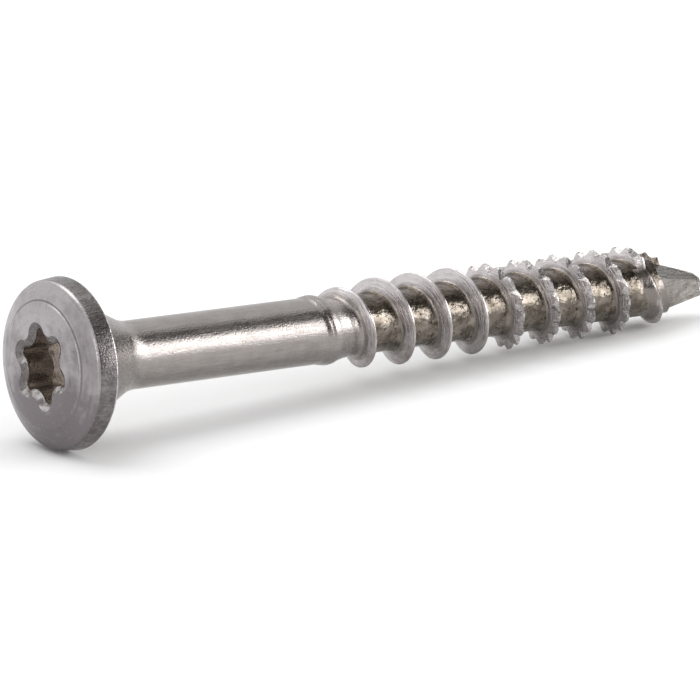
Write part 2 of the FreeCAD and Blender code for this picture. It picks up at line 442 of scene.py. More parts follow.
def head_and_shank(head, shank):
    """Head, neck and shank spun from one profile, cut off at the collar's slant."""
    radius = head.diameter / MM / 2
    shank_radius = shank.diameter / MM / 2
    step_radius = head.step_diameter / MM / 2
    step = head.step_height / MM
    drop = head.shoulder_drop / MM
    inset = head.shoulder_inset / MM
    chamfer = head.rim_chamfer / MM
    rise = head.crown_rise / MM
    shoulder = radius - head.rim_flare / MM
    bearing = drop + inset + head.rim_width / MM + chamfer
    neck_end = bearing + head.neck_length / MM
    station = shank.collar_station / MM
    # Corners by station and radius, each with its rounding and how many steps draw it
    outline = rounded([
        (-rise, 0, 0, 1),
        (-rise, 2.6, 4.0, 10),
        (0, step_radius - step, 0.05, 3),
        (step, step_radius, 0.05, 4),
        ((step + drop) / 2 - 0.03, (step_radius + shoulder - inset) / 2, 2.0, 8),
        (drop, shoulder - inset, 0.22, 6),
        (drop + inset + 0.03, shoulder, 0.14, 5),
        (bearing - chamfer, radius, 0.10, 4),
        (bearing, radius - chamfer, 0.05, 3),
        (bearing, shank_radius + head.neck_length / MM * math.tan(head.neck_angle), 0.12, 4),
        (neck_end, shank_radius, 2.6, 12),
        (station + SHANK_SPARE, shank_radius, 0, 1),
        (station + SHANK_SPARE, 0, 0, 1),
    ])
    body = spun("screw_body", "shank", outline, HEAD_STEPS)
    edited(body)
    lean = shank.collar_slant
    bpy.ops.mesh.bisect(
        plane_co=(station - SHANK_CUT, 0, 0), plane_no=(math.cos(lean), 0, math.sin(lean)),
        use_fill=True, clear_outer=True)
    closed_up()
    for face in body.data.polygons:
        out = polar(face.center)[0]
        if face.center.x < drop + FACE_REACH:
            face.material_index = SLOT["face"]
        elif bearing - chamfer + PAINTED_HIGHLIGHT_EDGE[0] < face.center.x < bearing + PAINTED_HIGHLIGHT_EDGE[1] and out > radius - chamfer:
            # Painted highlight: the rim's back edge gets the bright notch steel
            face.material_index = SLOT["notch"]
        elif face.center.x < bearing + RIM_REACH and out > shank_radius:
            face.material_index = SLOT["rim"]
    return body


def section(thread, low, half_width, head_flank):
    """Profile of the thread's ridge across one turn, with hollow feet, down to a low radius on both sides."""
    core = thread.core / MM / 2
    crest = thread.diameter / MM / 2
    height = crest - core
    half = thread.crest_width / MM / 2
    fillet = thread.root_fillet / MM
    head_foot = -half - height * math.tan(head_flank)
    tip_foot = half + height * math.tan(thread.tip_flank)
    corners = [(-half_width, low, 0, 1)]
    if low < core:
        corners.append((-half_width, core, 0, 1))
    corners += [
        (head_foot, core, fillet, 6),
        ((head_foot - half) / 2, core + height / 2, 0, 1),
        (-half, crest, 0.05, 3),
        (half, crest, 0.05, 3),
        ((tip_foot + half) / 2, core + height / 2, 0, 1),
        (tip_foot, core, fillet * 0.8, 6),
    ]
    if low < core:
        corners.append((half_width, core, 0, 1))
    corners.append((half_width, low, 0, 1))
    return rounded(corners)


def thread_angle(thread, station):
    """Angle, counted on over the turns, at which the thread passes a station in millimetres."""
    return thread.start_angle + (station - thread.start / MM) / (thread.pitch / MM) * math.tau


def thread_station(thread, angle):
    """Station in millimetres at which the thread passes a counted angle."""
    return thread.start / MM + (angle - thread.start_angle) / math.tau * thread.pitch / MM


def last_top(thread, point):
    """Counted angle of the highest point of the thread's last turn."""
    return math.tau * math.floor(thread_angle(thread, point.start / MM) / math.tau)


def counted(thread, vertex):
    """Angle of a vertex, counted on over the turns to the one that its station belongs to."""
    angle = polar(vertex.co)[1]
    near = thread_angle(thread, vertex.co.x - SEAM_LEAN)
    return angle + math.tau * round((near - angle) / math.tau)


def swelling(shank, station, height):
    """Radius of the core and of the leaning collar that it runs into, at a station and height."""
    lean = shank.collar_slant
    return eased(COLLAR_SWELL, (station - shank.collar_station / MM) * math.cos(lean) + height * math.sin(lean))


def rod_radius(shank, thread, point, station, height):
    """Radius of the rod under the thread, drawn in to the nose along the point."""
    core = thread.core / MM / 2
    start = point.start / MM
    nose = (point.tip - point.nose_length) / MM
    share = min(1.0, max(0.0, (station - start) / (nose - start)))
    closing = (core - point.nose_diameter / MM / 2) * share - 4 * point.bow / MM * share * (1 - share)
    return swelling(shank, station, height) - closing


def threaded_rod(shank, thread, point):
    """One turn's profile wound from the collar to the tip, its crests lowered at both ends, its end drawn in."""
    core = thread.core / MM / 2
    crest = thread.diameter / MM / 2
    pitch = thread.pitch / MM
    profile = section(thread, core, pitch / 2, thread.head_flank)
    spread = [profile[0]]
    for before, after in zip(profile, profile[1:]):
        pieces = max(1, math.ceil((after - before).length / LONGEST_EDGE))
        spread += [before.lerp(after, piece / pieces) for piece in range(1, pieces + 1)]
    start = thread.start / MM
    first = start - thread.start_angle / math.tau * pitch - pitch
    rod = wound([(first + corner[0], corner[1]) for corner in spread], pitch, ROD_TURNS, ROD_TURNS * TURN_STEPS)
    top = last_top(thread, point)
    nose = (point.tip - point.nose_length) / MM
    for vertex in rod.data.vertices:
        radius = polar(vertex.co)[0]
        angle = counted(thread, vertex)
        own = thread_station(thread, angle)
        past = math.degrees(angle - top)
        rise = min(1.0, max(0.0, (own - start) / (thread.run_in / MM)))
        low = thread.run_in_diameter / MM / 2
        outer = low + (crest - low) * (1 - (1 - rise) ** 2)
        if past > BLOCK_CREST[0][0]:
            outer = sloped(BLOCK_CREST, past)
        share = (outer - core) / (crest - core)
        share *= min(1.0, max(0.0, (angle - thread.start_angle) / FADE_IN))
        under = rod_radius(shank, thread, point, vertex.co.x, core * vertex.co.z / radius)
        over = core + (radius - core) * share
        wanted = under
        if share > 0 and own < nose:
            wanted = (under + over + math.hypot(under - over, COLLAR_BLEND)) / 2
        pushed_out(vertex, wanted)
        vertex.co.x += eased(LAST_DRIFT, min(past, ROD_DRIFT_END))
    edited(rod)
    bpy.ops.mesh.remove_doubles(threshold=MERGE_DISTANCE)
    bpy.ops.mesh.bisect(plane_co=(start - ROD_CUT, 0, 0), plane_no=(-1, 0, 0), use_fill=True, clear_outer=True)
    bpy.ops.mesh.select_all(action="SELECT")
    bpy.ops.mesh.bisect(plane_co=(nose, 0, 0), plane_no=(1, 0, 0), use_fill=True, clear_outer=True)
    for step, scale in NOSE_STEPS:
        extruded(step, 0, 0)
        bpy.ops.transform.resize(value=(1, scale, scale), center_override=(nose, 0, 0))
    extruded(NOSE_END, 0, 0)
    bpy.ops.mesh.merge(type="CENTER")
    closed_up()
    named("thread", "core")
    for face in rod.data.polygons:
        radius, angle = polar(face.center)
        first_ridge = angle + math.tau * (2 if angle < RIDGE_SEAM else 1)
        if radius > swelling(shank, face.center.x, face.center.z) + FLANK_FOOT:
            face.material_index = SLOT["flank"]
        elif face.center.x < thread_station(thread, first_ridge):
            face.material_index = SLOT["shank"]
        elif face.center.x > point.start / MM + POINT_FINISH:
            face.material_index = SLOT["point"]
    return rod


def thread_tail(thread, point):
    """Last turn of the thread, crushed and bent towards the tip, as a ridge of its own with a buried root."""
    core = thread.core / MM / 2
    crest = thread.diameter / MM / 2
    pitch = thread.pitch / MM
    top = last_top(thread, point)
    start = top + math.radians(TAIL_CREST[0][0])
    end = top + math.radians(TAIL_CREST[-1][0])
    turns = (end - start) / math.tau
    profile = section(thread, TAIL_ROOT, TAIL_HALF_WIDTH, TAIL_HEAD_FLANK)
    middle = thread_station(thread, start)
    tail = wound([(middle + at[0], at[1]) for at in profile] + [(middle + profile[0][0], profile[0][1])],
                 pitch, turns, round(turns * TAIL_STEPS))
    tail.data.transform(Matrix.Rotation(start, 4, "X"))
    for vertex in tail.data.vertices:
        radius = polar(vertex.co)[0]
        if radius > core + MERGE_DISTANCE:
            past = math.degrees(counted(thread, vertex) - top)
            share = (eased(TAIL_CREST, past) - core) / (crest - core)
            pushed_out(vertex, core + (radius - core) * share)
    for vertex in tail.data.vertices:
        vertex.co.x += eased(LAST_DRIFT, math.degrees(counted(thread, vertex) - top))
    edited(tail)
    bpy.ops.mesh.remove_doubles(threshold=MERGE_DISTANCE)
    bpy.ops.mesh.select_all(action="DESELECT")
    bpy.ops.mesh.select_mode(type="EDGE")
    bpy.ops.mesh.select_non_manifold()
    bpy.ops.mesh.edge_face_add()
    bpy.ops.mesh.select_mode(type="VERT")
    closed_up()
    tail = named("thread_tail", "flank")
    for face in tail.data.polygons:
        if len(face.vertices) > 4:
            face.material_index = SLOT["core"]
    return tail


def notch_cutters(thread, point):
    """One V cutter, slanted, and its copies round the lower turns."""
    crest = thread.diameter / MM / 2
    depth = thread.notch_depth / MM
    half = (thread.tooth_spacing - thread.tooth_land) / 2
    side = crest * math.sin(half)
    brim = crest * math.cos(half)
    slope = Vector((1, 0, math.tan(thread.notch_slant)))
    deselect()
    bpy.ops.mesh.primitive_plane_add(size=1.0, location=(0, 0, 0), rotation=(0, math.pi / 2, 0))
    cutter = bpy.context.object
    bpy.ops.object.transform_apply(location=True, rotation=True)
    for vertex in cutter.data.vertices:
        wide = 1 if vertex.co.y > 0 else -1
        vertex.select = vertex.co.z < 0
        if vertex.co.z > 0:
            vertex.co = (0, wide * side * NOTCH_OVERREACH, brim + depth * NOTCH_OVERREACH)
        else:
            vertex.co = (0, wide * side, brim)
    for edge in cutter.data.edges:
        edge.select = all(cutter.data.vertices[index].select for index in edge.vertices)
    for face in cutter.data.polygons:
        face.select = False
    bpy.ops.object.mode_set(mode="EDIT")
    bpy.ops.mesh.select_mode(type="EDGE")
    extruded(0, 0, crest - depth - brim)
    bpy.ops.mesh.merge(type="CENTER")
    bpy.ops.mesh.select_mode(type="VERT")
    bpy.ops.mesh.select_all(action="SELECT")
    bpy.ops.transform.translate(value=slope * NOTCH_FROM)
    extruded(*slope * NOTCH_OVER)
    closed_up()
    named("notch", "notch")
    spacing = thread.tooth_spacing
    bottom = math.pi - REST_ROLL
    foot = bottom + math.tau * math.floor((last_top(thread, point) - bottom) / math.tau)
    first = math.ceil((thread_angle(thread, thread.serration_start / MM) - foot) / spacing)
    last = math.floor((thread_angle(thread, thread.serration_end / MM) - foot) / spacing)
    top = last_top(thread, point)
    moves = []
    for notch in range(first, last + 1):
        angle = foot + notch * spacing
        station = thread_station(thread, angle + NOTCH_NUDGE) + eased(LAST_DRIFT, math.degrees(angle - top))
        moves.append(Matrix.Translation((station, 0, 0)) @ Matrix.Rotation(angle, 4, "X"))
    return joined(moved_copies(cutter, moves))


def flat_cutters(point):
    """Slanted box for one flat of the point and its copies, each begun along the last turn's slant."""
    start = point.start / MM
    length = point.tip / MM - start + FLAT_PAST
    middle = (length / 2 - FLAT_BEFORE, 0, FLAT_SIDE / 2)
    deselect()
    bpy.ops.mesh.primitive_cube_add(size=1.0, location=middle)
    cutter = bpy.context.object
    bpy.ops.transform.resize(value=(length, FLAT_SIDE, FLAT_SIDE), center_override=middle)
    bpy.ops.object.transform_apply(location=True, rotation=True, scale=True)
    named("flat", "point")
    lift = Matrix.Translation((0, 0, point.flat_distance / MM))
    cutter.data.transform(lift @ Matrix.Rotation(point.flat_slope, 4, "Y"))
    moves = []
    for flat in range(point.flats):
        turn = point.flat_turn + flat * math.tau / point.flats
        moves.append(Matrix.Translation((start, 0, -point.flat_offset / MM)) @ Matrix.Rotation(turn, 4, "X"))
    cutters = moved_copies(cutter, moves)
    facing = Matrix.Rotation(point.flat_lean_turn, 3, "X") @ Matrix.Rotation(point.flat_lean, 3, "Y")
    for cutter in cutters:
        edited(cutter)
        bpy.ops.mesh.bisect(
            plane_co=(point.flat_start / MM, 0, 0), plane_no=facing @ Vector((1, 0, 0)),
            use_fill=True, clear_inner=True)
        closed_up()
    return cutters


def lobed_radius(socket, angle, growth=0.0):
    """Distance from the socket's middle to its grown wall, at an angle from the middle of a lobe."""
    centre = (socket.across / 2 - socket.lobe_radius) / MM
    lobe = socket.lobe_radius / MM + growth
    inner = socket.inner / MM / 2 + growth
    half = math.pi / socket.lobes
    hollow = (centre ** 2 + inner ** 2 - 2 * centre * inner * math.cos(half) - lobe ** 2) / (
        2 * (lobe - inner + centre * math.cos(half)))
    angle = abs((angle + half) % (2 * half) - half)
    far = inner + hollow
    middle = Vector((centre, 0))
    touch = middle + (Vector((far * math.cos(half), far * math.sin(half))) - middle).normalized() * lobe
    if angle < math.atan2(touch.y, touch.x):
        return centre * math.cos(angle) + math.sqrt(lobe ** 2 - (centre * math.sin(angle)) ** 2)
    off = half - angle
    return far * math.cos(off) - math.sqrt(hollow ** 2 - (far * math.sin(off)) ** 2)


def socket_cutter(socket, head):
    """Lobed cutter for the drive socket, with a bevelled mouth, straight walls and a drilled floor."""
    mouth = -head.crown_rise / MM
    depth = socket.depth / MM
    width = socket.bevel_width / MM
    bevel = socket.bevel_depth / MM
    stations = [mouth + ring for ring in MOUTH_RINGS] + [depth + ring for ring in FLOOR_RINGS]
    deselect()
    bpy.ops.mesh.primitive_circle_add(
        vertices=socket.lobes * LOBE_POINTS, radius=1.0, fill_type="NGON", location=(0, 0, 0),
        rotation=(0, math.pi / 2, 0))
    bpy.ops.object.transform_apply(location=True, rotation=True)
    bpy.ops.object.mode_set(mode="EDIT")
    bpy.ops.mesh.select_all(action="SELECT")
    bpy.ops.transform.translate(value=(stations[0], 0, 0))
    for station, following in zip(stations, stations[1:]):
        extruded(following - station, 0, 0)
    bpy.ops.object.mode_set(mode="OBJECT")
    cutter = bpy.context.object
    for vertex in cutter.data.vertices:
        station = vertex.co.x
        angle = polar(vertex.co)[1]
        growth = min(width * BEVEL_REACH, width * (1 - (station - mouth) / bevel))
        growth = (growth + math.sqrt(growth ** 2 + BEVEL_SOFTNESS ** 2)) / 2
        for ring, closing in FLOOR_CLOSING:
            if station > depth + ring:
                growth = closing
        reach = lobed_radius(socket, angle, growth)
        angle += socket.turn
        vertex.co = (station, -reach * math.sin(angle), reach * math.cos(angle))
    edited(cutter)
    closed_up()
    cutter = named("socket", "socket")
    dimple = spun("dimple", "socket", [Vector((depth + step, radius)) for step, radius in DIMPLE], DIMPLE_STEPS)
    return combined(cutter, dimple, "UNION")


def bent_tip(piece, point):
    """The point's end pressed a little down, as the dies leave it."""
    start = point.start / MM
    for vertex in piece.data.vertices:
        if vertex.co.x > start:
            vertex.co.z -= point.bend / MM * ((vertex.co.x - start) / (point.tip / MM - start)) ** 2


def laid_down(piece):
    """The screw rolled, sloped and moved to where it comes to rest, in metres."""
    piece.data.transform(LAY @ Matrix.Scale(MM, 4))
    piece.data.update()


def group_socket(group, name, direction, kind, value=None):
    """A named input or output of a node group, with its default."""
    item = group.interface.new_socket(name=name, in_out=direction, socket_type="NodeSocket" + kind)
    if value is not None:
        item.default_value = value


def steel_surface():
    """Node group for worked steel: grain along or round the screw, blotches, peel, pits, and painted light and shade.
    """
    group = bpy.data.node_groups.new("worked_steel", "ShaderNodeTree")
    for name, kind, value in (
            ("Steel", "Color", (0.4, 0.38, 0.36, 1)), ("Shade", "Color", (0.2, 0.18, 0.16, 1)),
            ("Pit Colour", "Color", (0.05, 0.04, 0.03, 1)),
            ("Wound", "Float", 0.0), ("Stretch", "Vector", (1, 1, 1)), ("Grain Amount", "Float", 0.3),
            ("Blotch Size", "Float", 1.0), ("Blotch Amount", "Float", 0.5),
            ("Pit Size", "Float", 0.3), ("Pit Share", "Float", 0.3),
            ("Smoothness", "Float", 0.25), ("Roughness Spread", "Float", 0.1),
            ("Grain Height", "Float", 0.3), ("Peel Size", "Float", 0.15), ("Peel Height", "Float", 0.3),
            # Painted shade in a band round the screw, and painted light and shade on its upper and lower side
            ("Painted Shade Radius", "Float", 1.7), ("Painted Shade Width", "Float", 0.2), ("Painted Shade Amount", "Float", 0.0),
            ("Painted Top Shade", "Float", 0.0), ("Painted Low Shade", "Float", 0.0)):
        group_socket(group, name, "INPUT", kind, value)
    for name, kind in (("Color", "Color"), ("Roughness", "Float"), ("Height", "Float")):
        group_socket(group, name, "OUTPUT", kind)
    nodes, link = group.nodes, group.links.new

    def math_node(operation, first, second=None, third=None, clamp=False):
        node = nodes.new("ShaderNodeMath")
        node.operation = operation
        node.use_clamp = clamp
        for socket, value in zip(node.inputs, (first, second, third)):
            if value is None:
                continue
            if isinstance(value, (int, float)):
                socket.default_value = value
            else:
                link(value, socket)
        return node.outputs[0]

    def noise(vector, scale, detail, roughness):
        node = nodes.new("ShaderNodeTexNoise")
        link(vector, node.inputs["Vector"])
        if isinstance(scale, (int, float)):
            node.inputs["Scale"].default_value = scale
        else:
            link(scale, node.inputs["Scale"])
        node.inputs["Detail"].default_value = detail
        node.inputs["Roughness"].default_value = roughness
        return node.outputs["Fac"]

    def blend(factor, first, second):
        node = nodes.new("ShaderNodeMix")
        node.data_type = "RGBA"
        link(factor, node.inputs[0])
        link(first, node.inputs[6])
        link(second, node.inputs[7])
        return node.outputs[2]

    given = nodes.new("NodeGroupInput").outputs
    place = nodes.new("ShaderNodeTexCoord")
    straight = nodes.new("ShaderNodeMapping")
    straight.vector_type = "TEXTURE"
    straight.inputs["Location"].default_value = REST_PLACE
    straight.inputs["Rotation"].default_value = (REST_ROLL, REST_SLOPE, 0)
    straight.inputs["Scale"].default_value = (MM, MM, MM)
    link(place.outputs["Object"], straight.inputs["Vector"])
    line = straight.outputs["Vector"]
    parts = nodes.new("ShaderNodeSeparateXYZ")
    link(line, parts.inputs[0])
    along, side, up = parts.outputs
    radius = math_node("SQRT", math_node("ADD", math_node("POWER", side, 2.0), math_node("POWER", up, 2.0)))
    angle = math_node("ARCTAN2", up, math_node("MULTIPLY", side, -1.0))
    rolled = nodes.new("ShaderNodeCombineXYZ")
    link(along, rolled.inputs[0])
    link(radius, rolled.inputs[1])
    link(math_node("MULTIPLY", angle, 2.0), rolled.inputs[2])
    chosen = nodes.new("ShaderNodeMix")
    chosen.data_type = "VECTOR"
    link(given["Wound"], chosen.inputs[0])
    link(line, chosen.inputs[4])
    link(rolled.outputs[0], chosen.inputs[5])
    stretched = nodes.new("ShaderNodeVectorMath")
    stretched.operation = "MULTIPLY"
    link(chosen.outputs[1], stretched.inputs[0])
    link(given["Stretch"], stretched.inputs[1])
    grain = noise(stretched.outputs[0], 1.0, 4.0, 0.6)
    blotch = noise(line, math_node("DIVIDE", 1.0, given["Blotch Size"]), 3.0, 0.6)
    pits = noise(line, math_node("DIVIDE", 1.0, given["Pit Size"]), 2.0, 0.5)
    peel = noise(line, math_node("DIVIDE", 1.0, given["Peel Size"]), 2.0, 0.5)
    # Noise stays near one half, so it is spread out before it is used
    grain_spread = math_node("MULTIPLY_ADD", grain, 2.4, -0.7, clamp=True)
    blotch_spread = math_node("MULTIPLY_ADD", blotch, 3.0, -1.0, clamp=True)
    # Pits are the highest spots of their noise, cut off sharply, and reach lower where their share is larger
    edge = math_node("SUBTRACT", 0.72, math_node("MULTIPLY", given["Pit Share"], 0.3))
    pit_mask = math_node("MULTIPLY", math_node("SUBTRACT", pits, edge), 14.0, clamp=True)
    # Painted shade: darker in a band at a set distance from the screw's line, at thread roots and the step's crease
    off_shade_band = math_node("ABSOLUTE", math_node("SUBTRACT", radius, given["Painted Shade Radius"]))
    ring = math_node("SUBTRACT", 1.0, math_node("DIVIDE", off_shade_band, given["Painted Shade Width"]), clamp=True)
    shade = math_node("MULTIPLY_ADD", grain_spread, given["Grain Amount"],
                      math_node("MULTIPLY", blotch_spread, given["Blotch Amount"]))
    shade = math_node("MULTIPLY_ADD", ring, given["Painted Shade Amount"], shade)
    # Painted shade by height round the screw: darker upper side, or lighter with a negative amount, and darker lower
    # side
    height_share = math_node("DIVIDE", up, radius)
    top = math_node("MULTIPLY_ADD", height_share, 2.2, -1.0, clamp=True)
    shade = math_node("MULTIPLY_ADD", top, given["Painted Top Shade"], shade)
    low = math_node("MULTIPLY_ADD", height_share, -1.5, -0.1, clamp=True)
    shade = math_node("MULTIPLY_ADD", low, given["Painted Low Shade"], shade, clamp=True)
    coloured = blend(shade, given["Steel"], given["Shade"])
    pitted = blend(pit_mask, coloured, given["Pit Colour"])
    rough = math_node("MULTIPLY_ADD", math_node("SUBTRACT", grain_spread, 0.5), given["Roughness Spread"],
                      given["Smoothness"])
    rough = math_node("MULTIPLY_ADD", pit_mask, 0.2, rough, clamp=True)
    height = math_node("MULTIPLY_ADD", grain, given["Grain Height"],
                       math_node("MULTIPLY", peel, given["Peel Height"]))
    height = math_node("SUBTRACT", height, math_node("MULTIPLY", pit_mask, 0.25))
    result = nodes.new("NodeGroupOutput").inputs
    link(pitted, result["Color"])
    link(rough, result["Roughness"])
    link(height, result["Height"])
    return group


def steel(name, group, values, relief):
    """Steel finish: the worked-steel group with its own values, and a bump of the given depth."""
    material = bpy.data.materials.new(name)
    material.use_nodes = True
    nodes, link = material.node_tree.nodes, material.node_tree.links.new
    shader = nodes["Principled BSDF"]
    shader.inputs["Metallic"].default_value = 1.0
    surface = nodes.new("ShaderNodeGroup")
    surface.node_tree = group
    for key, value in values.items():
        surface.inputs[key].default_value = value
    bump = nodes.new("ShaderNodeBump")
    bump.inputs["Strength"].default_value = 1.0
    bump.inputs["Distance"].default_value = relief * MM
    link(surface.outputs["Color"], shader.inputs["Base Color"])
    link(surface.outputs["Roughness"], shader.inputs["Roughness"])
    link(surface.outputs["Height"], bump.inputs["Height"])
    link(bump.outputs["Normal"], shader.inputs["Normal"])
    return material


class SCREW_OT_finishes(bpy.types.Operator):
    """Make the steel finishes of the screw"""
    bl_idname = "screw.finishes"
    bl_label = "Make Finishes"

    def execute(self, context):
        colours = context.scene.screw_steel
        bright = (*colours.bright, 1)
        lilac = (*colours.lilac, 1)
        dark = (*colours.dark, 1)
        soot = (*colours.soot, 1)
        group = steel_surface()
        steel("shank", group, {
            "Steel": bright, "Shade": (0.21, 0.19, 0.18, 1), "Pit Colour": dark, "Stretch": (0.5, 9, 9),
            "Grain Amount": 0.4, "Blotch Size": 0.9, "Blotch Amount": 0.3, "Pit Size": 0.09, "Pit Share": 0.12,
            "Smoothness": 0.26, "Roughness Spread": 0.14, "Grain Height": 0.3, "Peel Size": 0.10,
            "Peel Height": 1.0}, 0.017)
        # Face: painted shade in the crease by its step, its upper side painted lighter and its lower side darker
        steel("face", group, {
            "Steel": lilac, "Shade": (0.19, 0.17, 0.18, 1), "Pit Colour": dark, "Wound": 1.0,
            "Stretch": (5, 5, 1.2), "Grain Amount": 0.35, "Blotch Size": 1.0, "Blotch Amount": 0.6,
            "Pit Size": 0.10, "Pit Share": 0.14, "Smoothness": 0.30, "Roughness Spread": 0.15,
            "Grain Height": 0.4, "Peel Size": 0.12, "Peel Height": 0.9,
            "Painted Shade Radius": 3.51, "Painted Shade Width": 0.07, "Painted Shade Amount": 1.1, "Painted Top Shade": -0.45,
            "Painted Low Shade": 0.7}, 0.016)
        steel("rim", group, {
            "Steel": (0.25, 0.232, 0.235, 1), "Shade": (0.10, 0.087, 0.085, 1), "Pit Colour": soot,
            "Stretch": (2.5, 9, 9), "Grain Amount": 0.6, "Blotch Size": 0.5, "Blotch Amount": 0.5,
            "Pit Size": 0.09, "Pit Share": 0.2, "Smoothness": 0.27, "Roughness Spread": 0.2,
            "Grain Height": 0.8, "Peel Size": 0.10, "Peel Height": 0.9}, 0.025)
        # Flanks: painted shade at their roots, upper side painted lighter, lower side a little darker
        steel("flank", group, {
            "Steel": (0.62, 0.585, 0.59, 1), "Shade": (0.23, 0.205, 0.19, 1), "Pit Colour": dark, "Wound": 1.0,
            "Stretch": (5, 9, 0.8), "Grain Amount": 0.55, "Blotch Size": 0.8, "Blotch Amount": 0.4,
            "Pit Size": 0.12, "Pit Share": 0.12, "Smoothness": 0.28, "Roughness Spread": 0.15,
            "Grain Height": 1.2, "Peel Size": 0.2, "Peel Height": 0.6,
            "Painted Shade Radius": 1.72, "Painted Shade Width": 0.30, "Painted Shade Amount": 1.0, "Painted Top Shade": -0.4,
            "Painted Low Shade": 0.15}, 0.025)
        # Core: its upper side painted darker, as painted shade between the turns
        steel("core", group, {
            "Steel": (0.305, 0.27, 0.232, 1), "Shade": (0.09, 0.075, 0.06, 1), "Pit Colour": soot, "Wound": 1.0,
            "Stretch": (1.2, 2, 1.8), "Grain Amount": 0.5, "Blotch Size": 0.9, "Blotch Amount": 0.8,
            "Pit Size": 0.26, "Pit Share": 0.3, "Smoothness": 0.25, "Roughness Spread": 0.2,
            "Grain Height": 1.0, "Peel Size": 0.40, "Peel Height": 1.6, "Painted Top Shade": 1.2}, 0.042)
        # Notches: painted shade towards their foot; also the painted highlight on the rim's back edge and socket
        # bevel
        steel("notch", group, {
            "Steel": (0.64, 0.615, 0.62, 1), "Shade": (0.17, 0.15, 0.14, 1), "Pit Colour": dark,
            "Stretch": (3, 6, 6), "Grain Amount": 0.35, "Blotch Size": 0.45, "Blotch Amount": 0.6,
            "Pit Size": 0.1, "Pit Share": 0.15, "Smoothness": 0.26, "Roughness Spread": 0.15,
            "Grain Height": 0.8, "Peel Size": 0.2, "Peel Height": 1.0,
            "Painted Shade Radius": 1.95, "Painted Shade Width": 0.25, "Painted Shade Amount": 0.5}, 0.045)
        steel("point", group, {
            "Steel": (0.44, 0.41, 0.385, 1), "Shade": (0.13, 0.115, 0.10, 1), "Pit Colour": soot,
            "Stretch": (0.7, 6, 6), "Grain Amount": 0.5, "Blotch Size": 0.45, "Blotch Amount": 0.45,
            "Pit Size": 0.12, "Pit Share": 0.2, "Smoothness": 0.30, "Roughness Spread": 0.15,
            "Grain Height": 1.0, "Peel Size": 0.2, "Peel Height": 0.8}, 0.035)
        steel("socket", group, {
            "Steel": (0.54, 0.495, 0.46, 1), "Shade": (0.26, 0.225, 0.195, 1), "Pit Colour": soot,
            "Stretch": (0.8, 5, 5), "Grain Amount": 0.5, "Blotch Size": 0.7, "Blotch Amount": 0.5,
            "Pit Size": 0.15, "Pit Share": 0.15, "Smoothness": 0.27, "Roughness Spread": 0.15,
            "Grain Height": 0.8, "Peel Size": 0.2, "Peel Height": 0.8}, 0.025)
        return {"FINISHED"}


class SCREW_OT_body(bpy.types.Operator):
    """Model the whole screw and lay it down"""
    bl_idname = "screw.body"
    bl_label = "Model Screw"

    def execute(self, context):
        scene = context.scene
        body = head_and_shank(scene.screw_head, scene.screw_shank)
        rod = threaded_rod(scene.screw_shank, scene.screw_thread, scene.screw_point)
        rod = combined(rod, notch_cutters(scene.screw_thread, scene.screw_point), "DIFFERENCE")
        for cutter in flat_cutters(scene.screw_point):
            rod = combined(rod, cutter, "DIFFERENCE")
        rod = combined(rod, thread_tail(scene.screw_thread, scene.screw_point), "UNION")
        body = combined(body, rod, "UNION")
        body = combined(body, socket_cutter(scene.screw_socket, scene.screw_head), "DIFFERENCE")
        # Painted light on the socket's bevel: faces turned up get bright notch steel, the rest dark rim steel as
        # painted shade
        for face in body.data.polygons:
            if face.material_index == SLOT["socket"] and face.center.x < BEVEL_END:
                face.material_index = SLOT["notch" if face.normal.z > PAINTED_LIGHT_SIDE else "rim"]
        edited(body)
        closed_up()
        bent_tip(body, scene.screw_point)
        laid_down(body)
        choose(body)
        bpy.ops.object.shade_smooth_by_angle(angle=SMOOTH_BELOW)
        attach(body, "root")
        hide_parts("screw")
        return {"FINISHED"}


# Lamps and dark cards by name: azimuth and elevation from the screw in degrees, distance, width and height in
# metres, and for a lamp how bright its face is. The cards show only in the steel's reflections.
LAMPS = (
    ("side_strip", -34, 15.5, 0.35, 0.36, 0.175, 4.3),
    ("overhead", 110, 68, 0.40, 0.34, 0.30, 2.2),
    ("left_slit", -152, 16, 0.30, 0.05, 0.13, 4.0),
)
CARDS = (
    ("upper_card", -60, 47, 0.33, 0.60, 0.19),
    ("front_card", -92, 12, 0.33, 0.27, 0.15),
    ("end_card", 5.2, 11.8, 0.0564, 0.04, 0.029),
)
# Height above the floor that lamps and cards face
MIDDLE = Vector((0, 0, 0.004))
FLOOR_SIZE = 4.0
CARD_BLACK = (0.07, 0.065, 0.06)

# Camera in the drawn screw's own millimetres, as fitted to the photograph
CAMERA_PLACE = Vector((-152.325, -224.927, 17.344))
CAMERA_FORWARD = Vector((0.6078, 0.7913, -0.0657)).normalized()
CAMERA_UP = Vector((0.1074, 0, 0.9942)).normalized()
CAMERA_SHIFT = 0.0014


def around(azimuth, elevation, distance):
    """Place on a ball round the screw, and the turn that faces its middle."""
    turn = math.radians(azimuth)
    lift = math.radians(elevation)
    way = Vector((math.cos(turn) * math.cos(lift), math.sin(turn) * math.cos(lift), math.sin(lift)))
    return way * distance + MIDDLE, way.to_track_quat("Z", "Y").to_euler()


def plain(name, colour):
    """Dull material of one colour for the floor and the cards."""
    material = bpy.data.materials.new(name)
    material.use_nodes = True
    inputs = material.node_tree.nodes["Principled BSDF"].inputs
    inputs["Base Color"].default_value = (*colour, 1)
    inputs["Roughness"].default_value = 1.0
    inputs["Specular IOR Level"].default_value = 0.0
    return material


